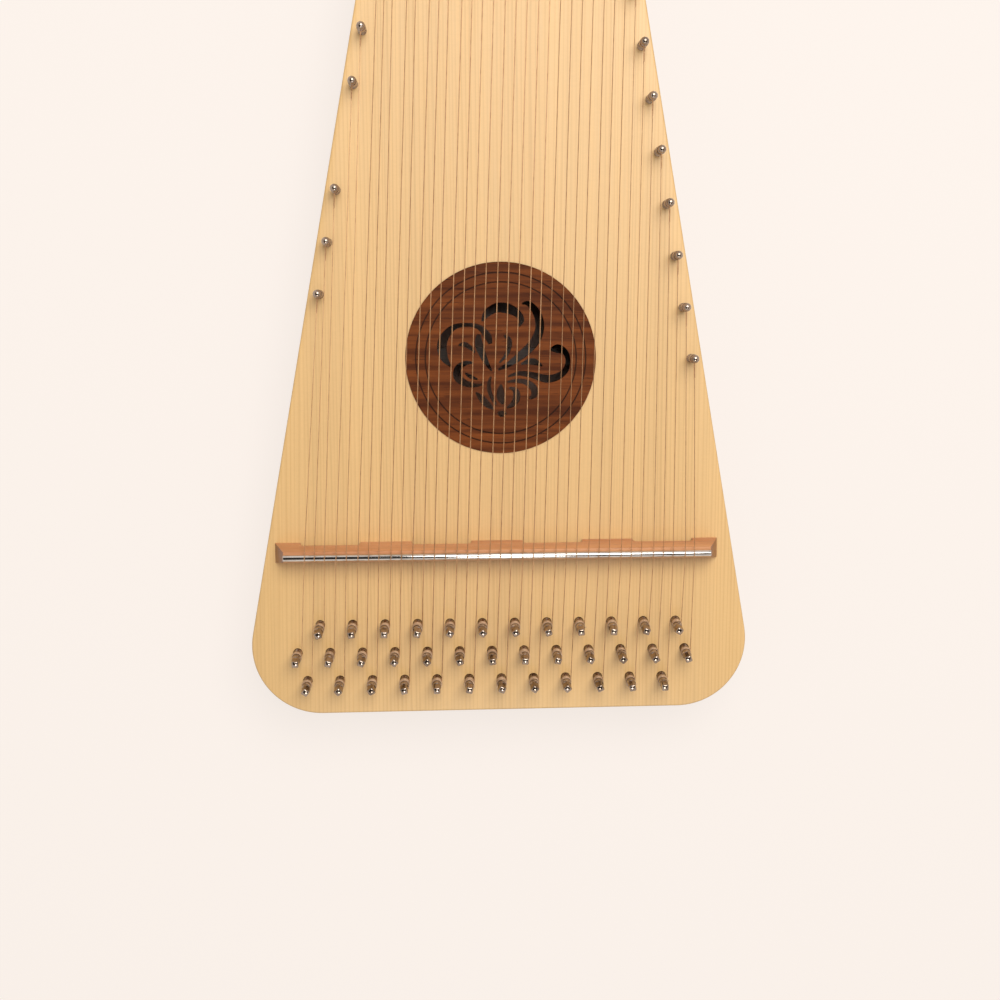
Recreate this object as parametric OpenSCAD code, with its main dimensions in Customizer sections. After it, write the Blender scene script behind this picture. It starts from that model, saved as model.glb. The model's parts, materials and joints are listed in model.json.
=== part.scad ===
// A 37-string bowed psaltery, lying on its back: +Y runs from the wide tail to the narrow nose,
// +X to the side of the natural notes, and +Z up from the back. The origin is under the middle
// of the outline. All sizes are in millimetres and all angles in degrees.

/* [Body] */
// Width of the tail, measured between the two sides' lines at the tail's middle
tail_w = 303; // [290:1:312]
// Distance from the last hitch pin to the point where the sides' lines would meet
nose_run = 43; // [40:1:50]
// Angle by which the tail edge is out of square
tail_skew = 0.8; // [0:0.1:1.5]
// Radius of the two tail corners in plan
corner_r = 40; // [30:1:42]
// Radius of the nose in plan
nose_r = 6; // [4:0.5:7]
// Height of the side rails and end blocks
rim_h = 40; // [34:1:50]
// Thickness of the soundboard
soundboard_t = 4; // [3:0.5:5]
// Thickness of the back plate
back_t = 4; // [3:0.5:5]
// Thickness of a side rail
rail_w = 16; // [13:0.5:20]
// Length of the pin block, measured from the tail's middle
pin_block_len = 72; // [68:1:80]

/* [Braces] */
// Width of a brace
brace_w = 10; // [6:1:14]
// Height of a brace
brace_h = 14; // [8:1:16]
// Place of the brace between the bridge and the sound hole, measured from the tail
lower_brace_y = 124; // [112:1:140]
// Place of the brace above the sound hole
middle_brace_y = 294; // [275:1:330]
// Place of the brace in the upper part of the soundboard
upper_brace_y = 520; // [450:1:600]
// Place of the lower brace on the back plate
lower_back_brace_y = 205; // [150:1:260]
// Place of the upper brace on the back plate
upper_back_brace_y = 430; // [380:1:500]

/* [Rosette] */
// Diameter of the rosette
rosette_d = 108; // [96:1:116]
// Thickness of the rosette
rosette_t = 3; // [2:0.25:3.5]
// Distance of the rosette's centre from the tail
rosette_y = 205; // [195:1:215]
// Height by which the rosette stands above the soundboard
rosette_proud = 0.6; // [0.2:0.1:1]
// Width of the ledge in the soundboard that carries the rosette
rosette_ledge = 5; // [3:0.5:7]
// Gap round the rosette in its seat
rosette_gap = 0.1; // [0.05:0.05:0.3]
// Distance of the outer engraved ring from the rosette's edge
outer_ring_inset = 5.8; // [4:0.1:8]
// Distance between the two engraved rings
ring_spacing = 5.4; // [4:0.1:7]
// Width of an engraved ring
ring_w = 0.8; // [0.6:0.1:1.6]
// Depth of an engraved ring
ring_depth = 0.6; // [0.3:0.1:1]
// Width of the whole scroll ornament
scroll_w = 76; // [60:1:78]
// Share by which the scrolls' strokes are drawn wider
scroll_weight = 1.2; // [0.8:0.05:1.2]

/* [Bridge] */
// Distance of the bridge's rod from the tail
bridge_y = 94; // [90:1:100]
// Distance of the bridge's middle from the centre line, towards the left
bridge_shift = 2; // [0:0.5:3]
// Angle by which the bridge is out of square
bridge_skew = 0.5; // [0:0.1:1]
// Length of the bridge along its feet
bridge_len = 255; // [244:1:258]
// Height of the bridge's wood
bridge_h = 15.4; // [13:0.2:18]
// Reach of the bridge's feet from the rod's axis, towards the nose
nose_foot_reach = 6.5; // [5.5:0.25:7.5]
// Reach of the bridge's feet from the rod's axis, towards the tail
tail_foot_reach = 5; // [4:0.25:6]
// Reach of the bridge's top from the rod's axis, towards the nose
nose_top_reach = 3.4; // [2.6:0.1:4]
// Reach of the bridge's top from the rod's axis, towards the tail
tail_top_reach = 2.5; // [2.2:0.1:3.4]
// Distance by which each sloping end draws in from foot to top
bridge_end_slope = 6.2; // [3:0.2:8]
// Width of each arch under the bridge
arch_w = 34.3; // [28:0.1:40]
// Height of each arch
arch_h = 4.8; // [3:0.2:7]
// Radius of the arch's upper corners
arch_corner_r = 2.5; // [1:0.5:3]
// Diameter of the steel rod on the bridge
rod_d = 3.8; // [3:0.1:5]
// Depth by which the rod sits in its groove
rod_seat = 1.2; // [0.8:0.1:1.4]
// Gap beside the rod in its groove
rod_gap = 0.05; // [0.02:0.01:0.1]

/* [Tuning pins] */
// Distance between neighbouring strings at the tuning pins
string_pitch = 6.25; // [6.1:0.05:6.5]
// Distance of the middle of the pin rows from the centre line, towards the left
pin_shift = 5; // [0:0.5:6]
// Distance of the row nearest to the bridge from the tail
first_row_y = 52; // [48:0.5:56]
// Distance between the rows
row_gap = 16.5; // [14:0.5:17]
// Distance by which each row stands to the right of the row behind it, past the even stagger
row_shift = 0.7; // [0.4:0.1:1]
// Angle by which the rows are out of square
row_skew = 0.4; // [0:0.1:0.6]
// Angle by which the pins lean towards the tail
pin_lean = 9; // [6:0.5:10]
// Diameter of a tuning pin
pin_d = 5; // [4.6:0.1:5.2]
// Length of a tuning pin above the soundboard
pin_stand = 18; // [17:0.5:22]
// Length of a tuning pin below the soundboard's face
pin_depth = 27; // [20:0.5:32]
// Length of the squared head that the tuning key turns
drive_len = 6.5; // [5:0.5:7]
// Distance across the flats of the squared head
drive_w = 3.9; // [3.6:0.1:4.2]
// Height of the dome on the head
drive_crown = 1.2; // [0.8:0.1:1.6]
// Running clearance round a pin in the block
pin_run_gap = 0.05; // [0.02:0.01:0.1]
// Clearance round a pin in the soundboard
pin_board_gap = 0.3; // [0.2:0.05:0.5]
// Space below the end of a pin in its hole
pin_end_gap = 1; // [0.5:0.5:2]
// Height of the winding's lower end above the soundboard
winding_z = 5.5; // [5:0.5:7]
// Number of turns in a winding
winding_turns = 6; // [4:1:7]
// Gap between a string's end and the side of its tuning pin
wire_gap = 0.06; // [0.05:0.01:0.1]
// Gap between a string's end and the winding above it
winding_gap = 0.35; // [0.3:0.05:0.5]

/* [Hitch pins] */
// Distance between neighbouring natural notes along the right side
hitch_pitch = 28.7; // [27.5:0.1:29.5]
// Distance of the first hitch pin from the tail
hitch_first_y = 205; // [195:1:215]
// Distance by which a sharp's pin stands further from the tail than the natural above it
sharp_offset = 7; // [4:0.5:10]
// Distance of the hitch pins from the edge
hitch_edge = 6.5; // [5.5:0.25:7]
// Diameter of a hitch pin
hitch_d = 5; // [4:0.1:5.4]
// Height of a hitch pin above the soundboard
hitch_stand = 17; // [15:0.5:19]
// Length of a hitch pin below the soundboard's face
hitch_depth = 22; // [16:0.5:28]
// Gap round a hitch pin in its hole
hitch_gap = 0.02; // [0:0.01:0.05]
// Diameter of the neck under the head
neck_d = 3.4; // [2.8:0.1:3.8]
// Length of the neck
neck_len = 2.4; // [2:0.1:3]
// Height of the head
head_h = 3; // [2.4:0.1:3.4]
// Diameter of the head
head_d = 4.8; // [4.4:0.1:5.2]

/* [Strings] */
// Diameter of the strings in the lowest octave
low_string_d = 0.55; // [0.5:0.05:0.8]
// Diameter of the strings in the middle octave
middle_string_d = 0.45; // [0.4:0.05:0.7]
// Diameter of the strings in the highest octave
high_string_d = 0.4; // [0.3:0.05:0.6]

/* [Hidden] */
$fn = 64;
wire_fn = 16;
// A hair by which shapes overlap so that their surfaces cross and don't just touch
eps = 0.01;
string_count = 37;
octaves = 3;
octave_naturals = 7;
sharp_slots = [1, 2, 3, 5, 6];
sharp_count = octaves * len(sharp_slots);
natural_count = string_count - sharp_count;
row_count = 3;
arch_count = 4;
// Number of naturals whose hitch pins stand in the nose block
nose_naturals = 3;
// Radius of a loop's wire and diameter of the rounding at a bend, as shares of the string's diameter
loop_share = 0.65;
knee_share = 1.05;

// Heights
top_z = back_t + rim_h + soundboard_t;
rod_z = top_z + bridge_h - rod_seat + rod_d / 2;
loop_z = top_z + hitch_stand - head_h - neck_len / 2;

// Pitch of the arches under the bridge
arch_pitch = bridge_len / arch_count;

// Outline in plan, with y = 0 at the tail's middle and x = 0 on the centre line
last_hitch_y = hitch_first_y + (natural_count - 1) * hitch_pitch;
apex_y = last_hitch_y + nose_run;
taper = atan(tail_w / 2 / apex_y);
side_reach = tail_w / 2 * cos(taper);
left_normal = [-cos(taper), sin(taper)];
right_normal = [cos(taper), sin(taper)];
tail_normal = [sin(tail_skew), -cos(tail_skew)];
left_corner = meet(left_normal, side_reach - corner_r, tail_normal, -corner_r);
right_corner = meet(right_normal, side_reach - corner_r, tail_normal, -corner_r);
nose_centre = [0, apex_y - nose_r / sin(taper)];
middle_x = (left_corner[0] + right_corner[0]) / 2;
middle_y = (left_corner[1] - corner_r + nose_centre[1] + nose_r) / 2;
nose_block_y = hitch_first_y + (natural_count - nose_naturals - 0.5) * hitch_pitch;

// Colours
spruce = "#efcb94";
maple = "#d9a066";
beech = "#c8875a";
walnut = "#6e3f26";
steel = "#c9c7c4";
brass_wire = "#a58d70";

// Where two lines cross, each given by its normal and its distance from the origin
function meet(n1, d1, n2, d2) =
    [d1 * n2[1] - d2 * n1[1], n1[0] * d2 - n2[0] * d1] / (n1[0] * n2[1] - n1[1] * n2[0]);

// Half the body's width at y, at a depth of inset behind the side
function half_width(y, inset = 0) = (apex_y - y) * tan(taper) - inset / cos(taper);

// Strings count from the left: first the sharps from high to low, then the naturals from low to high
function is_sharp(k) = k < sharp_count;
function sharp_slot(k) = sharp_slots[k % len(sharp_slots)] + octave_naturals * floor(k / len(sharp_slots));
function natural_slot(k) = string_count - 1 - k;
function hitch_y(k) = is_sharp(k)
    ? hitch_first_y + sharp_slot(k) * hitch_pitch + sharp_offset
    : hitch_first_y + natural_slot(k) * hitch_pitch;
function hitch_point(k) = [(is_sharp(k) ? -1 : 1) * half_width(hitch_y(k), hitch_edge), hitch_y(k)];
function octave(k) = is_sharp(k)
    ? octaves - 1 - floor(k / len(sharp_slots))
    : min(octaves - 1, floor((k - sharp_count) / octave_naturals));
function string_d(k) = [low_string_d, middle_string_d, high_string_d][octave(k)];

// Tuning pins: neighbouring strings go to the middle, the back and the front row in turn
function rows_ahead(k) = [0, -1, 1][k % row_count];
function pin_x(k) = -pin_shift + (k - (string_count - 1) / 2) * string_pitch + rows_ahead(k) * row_shift;
function pin_y(k) = first_row_y - row_gap + rows_ahead(k) * row_gap + pin_x(k) * tan(row_skew);
function pin_name(k) = str("tuning_pin_", k < 9 ? "0" : "", k + 1);
function on_pin(k, x, z) = [pin_x(k) + x, pin_y(k) - z * sin(pin_lean), top_z + z * cos(pin_lean)];

// The three points of a string: its loop, its bend over the rod, and its end at the tuning pin
function loop_r(k) = string_d(k) * loop_share;
function string_end(k) =
    on_pin(k, pin_d / 2 + string_d(k) / 2 + wire_gap, winding_z - string_d(k) / 2 - winding_gap);
function string_start(k) =
    let (p = hitch_point(k), d = unit(flat(string_end(k)) - p) * (neck_d / 2 + loop_r(k)))
    [p[0] + d[0], p[1] + d[1], loop_z];
function rod_share(a, b) =
    let (slope = tan(bridge_skew))
    (bridge_y + (a[0] + bridge_shift) * slope - a[1]) / (b[1] - a[1] - slope * (b[0] - a[0]));
function string_bend(k) =
    let (
        a = string_start(k),
        b = string_end(k),
        over = flat(a) + rod_share(a, b) * flat(b - a),
        lift = rod_d / 2 + string_d(k) / 2,
        rise = atan((rod_z + lift - a[2]) / norm(flat(a) - over)),
        fall = atan((rod_z + lift - b[2]) / norm(flat(b) - over)),
        away = unit(flat(b - a)),
        reach = lift / cos((rise + fall) / 2),
        tip = (fall - rise) / 2)
    [over[0] + away[0] * reach * sin(tip), over[1] + away[1] * reach * sin(tip), rod_z + reach * cos(tip)];

function flat(p) = [p[0], p[1]];
function unit(v) = v / norm(v);

// Smooth curve through points that each hold x, y and half a stroke's width
stroke_steps = 4;
function at(list, i) = list[max(0, min(len(list) - 1, i))];
function spline(a, b, c, d, t) =
    (2 * b + (c - a) * t + (2 * a - 5 * b + 4 * c - d) * t * t + (3 * b - a - 3 * c + d) * t * t * t) / 2;
function smooth(list) = concat(
    [for (i = [0 : len(list) - 2]) for (s = [0 : stroke_steps - 1])
        spline(at(list, i - 1), list[i], list[i + 1], at(list, i + 2), s / stroke_steps)],
    [list[len(list) - 1]]);
function stroke_side(path, side) =
    [for (i = [0 : len(path) - 1])
        let (along = unit(flat(at(path, i + 1)) - flat(at(path, i - 1))))
        flat(path[i]) + side * path[i][2] * scroll_weight * [-along[1], along[0]]];
function reversed(list) = [for (i = [len(list) - 1 : -1 : 0]) list[i]];

// The scroll ornament: each stroke runs through points of x, y and half its width there
scroll_design_w = 76;
scroll_strokes = [
    [[-6, 8, 0.9], [-7.5, 12.5, 1.7], [-12.5, 17.5, 1.2], [-19.5, 18.8, 0.9], [-26.5, 17.4, 1.3],
        [-31.5, 12.5, 2], [-33.4, 6.5, 2.3], [-32, 0, 1.8], [-28.5, -4.5, 0.5]],
    [[-10.6, 20.8, 0.5], [-8.2, 24.8, 1.6], [-3, 28.2, 2.2], [3.4, 28, 2.4], [9, 25.4, 1.8],
        [11.8, 21.4, 1.2], [10, 18, 0.5]],
    [[12, 30.6, 0.4], [15.4, 30.8, 1.2], [19, 27.5, 1.7], [21.6, 22, 2], [21.8, 15.5, 2.1],
        [18.6, 8.5, 2.2], [12.5, 2.5, 2], [5.5, -2.8, 1.4], [-1.5, -6.6, 0.5]],
    [[28, 4.6, 0.6], [32, 5.4, 2.1], [36.4, 3.6, 1.4], [38.2, -1.2, 1.2], [36.8, -6.8, 1.4],
        [32, -10.6, 1.7], [25.5, -11.6, 1.9], [18, -9.6, 1.5], [10.5, -8.6, 1.1], [4, -10.4, 0.4]],
    [[11.5, -3.4, 0.4], [15.5, -2, 1.3], [19.5, -2.2, 1.5], [23.5, -4.4, 0.4]],
    [[-12.4, 13.4, 0.8], [-12.6, 8.6, 2], [-10.6, 2.6, 1.7], [-7.6, -3.4, 1], [-5.2, -7.2, 0.4]],
    [[-24, 7.2, 0.4], [-20.8, 7.8, 1.2], [-17.4, 6, 1], [-14.6, 3.2, 0.4]],
    [[1.8, 12.8, 0.5], [4.6, 10.4, 1.2], [4.6, 6, 1.2], [2.6, 1.2, 0.8], [-0.8, -2.6, 0.4]],
    [[-15.5, -2.6, 0.4], [-20, -2.8, 1.1], [-24.2, -5.6, 1.6], [-24.6, -10.4, 2], [-20.6, -14, 1.6],
        [-15, -15.4, 1], [-10.4, -14.8, 0.4]],
    [[-20.2, -8.4, 0.4], [-17.2, -10.4, 1], [-13.2, -12, 0.4]],
    [[-5.6, -10.4, 0.4], [-6.8, -14.6, 0.9], [-6.2, -19.4, 1], [-4.2, -23.8, 0.8], [-2.6, -26.4, 0.4]],
    [[-14.2, -19.4, 0.4], [-11, -22.6, 1.5], [-7.4, -26.4, 1.5], [-4, -29, 0.4]],
    [[0.2, -14.8, 0.4], [-0.2, -18.8, 1.8], [0.2, -22.8, 1.9], [1.2, -26.2, 0.5]],
    [[4.8, -16.6, 0.4], [8.4, -18.4, 1.4], [9, -22.6, 1.7], [6.6, -26.4, 1.2], [3.4, -28.2, 0.4]],
    [[-1.8, -30.8, 0.5], [0.6, -31.6, 1.6], [3.2, -31, 0.5]],
    [[3.8, -13.4, 0.4], [8.6, -12.8, 0.9], [14.4, -13.6, 1.3], [18.6, -16.8, 1.7], [19, -20.8, 1.5],
        [16.4, -23, 0.5]]
];

module centred() {
    translate([-middle_x, -middle_y, 0]) children();
}

// Shared shapes

module outline_slab(z, t) {
    translate([0, 0, z]) {
        linear_extrude(t)
            polygon([
                left_corner + corner_r * left_normal,
                nose_centre + nose_r * left_normal,
                nose_centre + nose_r * right_normal,
                right_corner + corner_r * right_normal,
                right_corner + corner_r * tail_normal,
                left_corner + corner_r * tail_normal]);
        translate(left_corner) cylinder(h = t, r = corner_r + eps);
        translate(right_corner) cylinder(h = t, r = corner_r + eps);
        translate(nose_centre) cylinder(h = t, r = nose_r + eps);
    }
}

module outline_piece(from_y, to_y) {
    intersection() {
        outline_slab(back_t, rim_h);
        translate([-tail_w, from_y, back_t - 1]) cube([2 * tail_w, to_y - from_y, rim_h + 2]);
    }
}

module across(y, z, h) {
    near = half_width(y - brace_w / 2, rail_w);
    far = half_width(y + brace_w / 2, rail_w);
    translate([0, y, z]) linear_extrude(h)
        polygon([[-near, -brace_w / 2], [near, -brace_w / 2], [far, brace_w / 2], [-far, brace_w / 2]]);
}

module at_pin(k) {
    translate([pin_x(k), pin_y(k), top_z]) rotate([pin_lean, 0, 0]) children();
}

module pin_holes(gap) {
    for (k = [0 : string_count - 1])
        at_pin(k)
            translate([0, 0, -pin_depth - pin_end_gap])
                cylinder(h = pin_depth + pin_end_gap + pin_stand, r = pin_d / 2 + gap);
}

module hitch_holes() {
    for (k = [0 : string_count - 1])
        translate([hitch_point(k)[0], hitch_point(k)[1], top_z - hitch_depth])
            cylinder(h = hitch_depth + 1, r = hitch_d / 2 + hitch_gap);
}

module wire(a, b, d) {
    along = b - a;
    translate(a)
        rotate([0, acos(along[2] / norm(along)), atan2(along[1], along[0])])
            cylinder(h = norm(along), d = d, $fn = wire_fn);
}

// Points of a dome's edge, from the side of a shape of radius r up to its tip at height h
function dome(r, h, crown) =
    let (steps = 6)
    [for (i = [0 : steps]) [r * cos(90 * i / steps), h - crown + crown * sin(90 * i / steps)]];

// The body

module soundboard() {
    color(spruce) centred() difference() {
        outline_slab(top_z - soundboard_t, soundboard_t);
        translate([0, rosette_y, top_z - soundboard_t - 1])
            cylinder(h = soundboard_t + 2, r = rosette_d / 2 - rosette_ledge, $fn = 128);
        translate([0, rosette_y, top_z + rosette_proud - rosette_t])
            cylinder(h = rosette_t + 1, r = rosette_d / 2 + rosette_gap, $fn = 128);
        pin_holes(pin_board_gap);
        hitch_holes();
    }
}

module ring_groove(r) {
    translate([0, 0, rosette_t - ring_depth])
        difference() {
            cylinder(h = ring_depth + 1, r = r + ring_w / 2, $fn = 128);
            translate([0, 0, -1]) cylinder(h = ring_depth + 3, r = r - ring_w / 2, $fn = 128);
        }
}

module scroll_cut() {
    scale(scroll_w / scroll_design_w)
        for (points = scroll_strokes) {
            path = smooth(points);
            polygon(concat(stroke_side(path, 1), reversed(stroke_side(path, -1))));
        }
}

module rosette() {
    color(walnut) centred()
        translate([0, rosette_y, top_z + rosette_proud - rosette_t])
            difference() {
                cylinder(h = rosette_t, r = rosette_d / 2, $fn = 128);
                ring_groove(rosette_d / 2 - outer_ring_inset);
                ring_groove(rosette_d / 2 - outer_ring_inset - ring_spacing);
                translate([0, 0, -1]) linear_extrude(rosette_t + 2) scroll_cut();
            }
}

module back_plate() {
    color(spruce) centred() outline_slab(0, back_t);
}

module rail(side) {
    color(maple) centred() difference() {
        translate([0, 0, back_t]) linear_extrude(rim_h)
            polygon([
                [side * half_width(pin_block_len), pin_block_len],
                [side * half_width(nose_block_y), nose_block_y],
                [side * half_width(nose_block_y, rail_w), nose_block_y],
                [side * half_width(pin_block_len, rail_w), pin_block_len]]);
        hitch_holes();
    }
}

module pin_block() {
    color(maple) centred() difference() {
        outline_piece(-tail_w, pin_block_len);
        pin_holes(pin_run_gap);
    }
}

module nose_block() {
    color(maple) centred() difference() {
        outline_piece(nose_block_y, apex_y);
        hitch_holes();
    }
}

module soundboard_brace(y) {
    color(spruce) centred() across(y, top_z - soundboard_t - brace_h, brace_h);
}

module back_brace(y) {
    color(spruce) centred() across(y, back_t, brace_h);
}

// The bridge

module on_bridge() {
    translate([-bridge_shift, bridge_y, top_z]) rotate([0, 0, bridge_skew]) children();
}

module arch() {
    translate([-arch_w / 2, -1]) square([arch_w, arch_h - arch_corner_r + 1]);
    translate([arch_corner_r - arch_w / 2, -1]) square([arch_w - 2 * arch_corner_r, arch_h + 1]);
    for (side = [-1, 1])
        translate([side * (arch_w / 2 - arch_corner_r), arch_h - arch_corner_r]) circle(r = arch_corner_r);
}

module bridge_front() {
    difference() {
        polygon([
            [-bridge_len / 2, 0],
            [bridge_len / 2, 0],
            [bridge_len / 2 - bridge_end_slope, bridge_h],
            [bridge_end_slope - bridge_len / 2, bridge_h]]);
        for (i = [0 : arch_count - 1])
            translate([(i - (arch_count - 1) / 2) * arch_pitch, 0]) arch();
    }
}

module bridge() {
    reach = nose_foot_reach + tail_foot_reach;
    color(beech) centred() on_bridge() difference() {
        intersection() {
            translate([0, reach, 0]) rotate([90, 0, 0]) linear_extrude(2 * reach) bridge_front();
            rotate([90, 0, 90]) translate([0, 0, -bridge_len]) linear_extrude(2 * bridge_len)
                polygon([
                    [-tail_foot_reach, 0],
                    [nose_foot_reach, 0],
                    [nose_top_reach, bridge_h],
                    [-tail_top_reach, bridge_h]]);
        }
        translate([-bridge_len, 0, rod_z - top_z + rod_gap]) rotate([0, 90, 0])
            cylinder(h = 2 * bridge_len, r = rod_d / 2 + rod_gap);
    }
}

module bridge_rod() {
    length = bridge_len - 2 * bridge_end_slope;
    chamfer = rod_d / 12;
    color(steel) centred() on_bridge()
        translate([-length / 2, 0, rod_z - top_z]) rotate([0, 90, 0])
            rotate_extrude()
                polygon([
                    [0, 0],
                    [rod_d / 2 - chamfer, 0],
                    [rod_d / 2, chamfer],
                    [rod_d / 2, length - chamfer],
                    [rod_d / 2 - chamfer, length],
                    [0, length]]);
}

// The pins

module hitch_pin() {
    neck_z = hitch_stand - head_h - neck_len;
    flare = 0.4;
    rotate_extrude()
        polygon(concat(
            [
                [0, -hitch_depth],
                [hitch_d / 2, -hitch_depth],
                [hitch_d / 2, neck_z - flare],
                [neck_d / 2, neck_z],
                [neck_d / 2, neck_z + neck_len],
                [head_d / 2, neck_z + neck_len + flare]
            ],
            dome(head_d / 2, hitch_stand, head_h - 2 * flare)));
}

module hitch_pins(from_k, to_k) {
    color(steel) centred()
        for (k = [from_k : to_k])
            translate([hitch_point(k)[0], hitch_point(k)[1], top_z]) hitch_pin();
}

module tuning_pin(k) {
    shaft_top = pin_stand - drive_len;
    winding_r = pin_d / 2 + string_d(k);
    color(steel) centred() at_pin(k) {
        translate([0, 0, -pin_depth]) cylinder(h = pin_depth + shaft_top, d = pin_d);
        intersection() {
            rotate_extrude()
                polygon(concat([[0, shaft_top - 1], [pin_d / 2 - eps, shaft_top - 1]],
                    dome(pin_d / 2 - eps, pin_stand, drive_crown)));
            translate([-drive_w / 2, -drive_w / 2, shaft_top - 1]) cube([drive_w, drive_w, drive_len + 2]);
        }
        color(brass_wire) translate([0, 0, winding_z])
            cylinder(h = winding_turns * string_d(k), r = winding_r);
    }
}

// The strings

module string(k) {
    start = string_start(k);
    bend = string_bend(k);
    translate([hitch_point(k)[0], hitch_point(k)[1], loop_z])
        rotate_extrude()
            translate([neck_d / 2 + loop_r(k), 0]) circle(r = loop_r(k), $fn = wire_fn);
    wire(start, bend, string_d(k));
    translate(bend) sphere(d = string_d(k) * knee_share, $fn = wire_fn);
    wire(bend, string_end(k), string_d(k));
}

module strings(wanted) {
    color(steel) centred()
        for (k = [0 : string_count - 1])
            if (octave(k) == wanted) string(k);
}

soundboard();
rosette();
back_plate();
rail(-1);  // left_rail
rail(1);  // right_rail
pin_block();
nose_block();
soundboard_brace(lower_brace_y);  // soundboard_brace_lower
soundboard_brace(middle_brace_y);  // soundboard_brace_middle
soundboard_brace(upper_brace_y);  // soundboard_brace_upper
back_brace(lower_back_brace_y);  // back_brace_lower
back_brace(upper_back_brace_y);  // back_brace_upper
bridge();
bridge_rod();
hitch_pins(0, sharp_count - 1);  // hitch_pins_left
hitch_pins(sharp_count, string_count - 1);  // hitch_pins_right
strings(0);  // strings_low
strings(1);  // strings_middle
strings(2);  // strings_high
for (k = [0 : string_count - 1])
    tuning_pin(k);
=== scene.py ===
import json
import math

import bmesh
import bpy
from mathutils import Matrix, Vector


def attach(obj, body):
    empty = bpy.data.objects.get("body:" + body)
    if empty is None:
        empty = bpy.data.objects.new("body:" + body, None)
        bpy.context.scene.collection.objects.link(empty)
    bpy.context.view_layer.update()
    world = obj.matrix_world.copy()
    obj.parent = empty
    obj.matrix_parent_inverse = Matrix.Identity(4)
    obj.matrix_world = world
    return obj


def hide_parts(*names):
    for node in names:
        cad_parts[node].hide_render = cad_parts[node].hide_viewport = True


# A bowed psaltery on its back. Points are in millimetres in the part's frame, and piece() turns
# them into metres. A size that the CAD source has is the same here, and the others belong to the
# finer forms that only this script has.

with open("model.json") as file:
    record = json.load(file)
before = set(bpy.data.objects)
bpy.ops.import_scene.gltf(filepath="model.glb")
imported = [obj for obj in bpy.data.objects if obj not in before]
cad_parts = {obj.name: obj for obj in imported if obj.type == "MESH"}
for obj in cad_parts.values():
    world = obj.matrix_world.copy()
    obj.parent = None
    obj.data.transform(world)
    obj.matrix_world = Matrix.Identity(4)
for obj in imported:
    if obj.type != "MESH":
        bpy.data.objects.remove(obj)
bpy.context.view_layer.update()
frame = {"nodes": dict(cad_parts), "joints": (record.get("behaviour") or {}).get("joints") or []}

MM = 0.001
UP = Vector((0, 0, 1))

# The strings, with sharps to the left edge and naturals to the right one
STRINGS = 37
SHARPS = 15
SHARP_SLOTS = (1, 2, 3, 5, 6)
SLOTS_PER_OCTAVE = 7
OCTAVES = ("low", "middle", "high")
STRING_D = (0.55, 0.45, 0.4)
LOOP_STEPS = 24
TWIST_LEN = 8.5
TWIST_TURNS = 5
TWIST_STEPS = 8
OVER_ROD_STEPS = 6
WIRE_SIDES = 8

# The body. Its arcs are drawn a hair small, so that they stay inside the CAD model's facets.
TAIL_W = 303
NOSE_RUN = 43
TAIL_SKEW = math.radians(0.8)
CORNER_R = 40
NOSE_R = 6
EDGE_EASE = 0.02
CORNER_STEPS = 28
NOSE_STEPS = 16
BACK_T = 4
BOARD_T = 4
TOP_Z = 48
RAIL_W = 16
PIN_BLOCK_LEN = 72
NOSE_BLOCK_SLOTS = 3.5
OUTER_EDGE_R = 1.1
GLUED_EDGE_R = 0.15
EDGE_STEPS = 4

# The rosette's seat and the other holes in the soundboard
ROSETTE_Y = 205
ROSETTE_R = 54
ROSETTE_LEDGE = 5
ROSETTE_SEAT = 2.4
ROSETTE_GAP = 0.1
SEAT_SIDES = 128
HOLE_SIDES = 20

# The bridge and its rod
BRIDGE_Y = 94
BRIDGE_SHIFT = 2
BRIDGE_SKEW = math.radians(0.5)
BRIDGE_EDGE = 0.5
WELD = 0.002
FLAT_ANGLE = math.radians(0.6)
CREST_ANGLE = math.radians(25)
ROD_Z = 64.1
ROD_R = 1.9
ROD_LEN = 242.6
ROD_EDGE_R = 0.35
ROD_CENTRE_R = 0.4
ROD_SIDES = 48

# The hitch pins
HITCH_PITCH = 28.7
HITCH_FIRST_Y = 205
SHARP_OFFSET = 7
HITCH_EDGE = 6.5
HITCH_R = 2.5
HITCH_GAP = 0.02
HITCH_STAND = 17
HITCH_DEPTH = 22
HITCH_SIDES = 36
GROOVES = 8
GROOVE_PITCH = 1.05
GROOVE_DEPTH = 0.3
HEAD_H = 3
HEAD_R = 2.4
HEAD_RIM_H = 1.1
FLUTES = 9
FLUTE_SQUEEZE = 0.06
NECK_LEN = 2.4
NECK_R = 1.7
LOOP_Z = TOP_Z + HITCH_STAND - HEAD_H - NECK_LEN / 2

# The tuning pins
PIN_R = 2.5
PIN_STAND = 18
PIN_DEPTH = 27
PIN_TIP = 0.6
PIN_HOLE_GAP = 0.3
PIN_SIDES = 32
THREAD_PITCH = 0.5
THREAD_DEPTH = 0.17
THREAD_LOW = 1
THREAD_TOP = 3.5
THREAD_STEPS = 4
DRIVE_LEN = 6.5
DRIVE_FLAT = 1.95
DRIVE_CROWN = 1.1
CROWN_POWER = 0.65

# The windings
WINDING_Z = 5.5
COIL_SPACING = 1.03
LEAST_TURNS = 5.1
MORE_TURNS = 0.75
COIL_STEPS = 22
RISE_ANGLE = math.radians(115)
RISE_STEPS = 9
WIRE_HOLE_Z = 11.0
BEND = 0.5
WIRE_END_R = (1.4, 2.2, 2.9, 3.5)
LEVEL_TURN_STEPS = 28

# A dome stops short of its tip, where a small flat closes it
DOME_ANGLE = math.radians(86)
DOME_STEPS = 8

# Multiples of this share, less their whole parts, differ from pin to pin with no pattern
GOLDEN = 0.61803399


# Plan of the body

def meet(n1, d1, n2, d2):
    """Where two lines cross, each given by its normal and its distance from the origin."""
    cross = n1[0] * n2[1] - n1[1] * n2[0]
    return Vector(((d1 * n2[1] - d2 * n1[1]) / cross, (n1[0] * d2 - n2[0] * d1) / cross))


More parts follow.
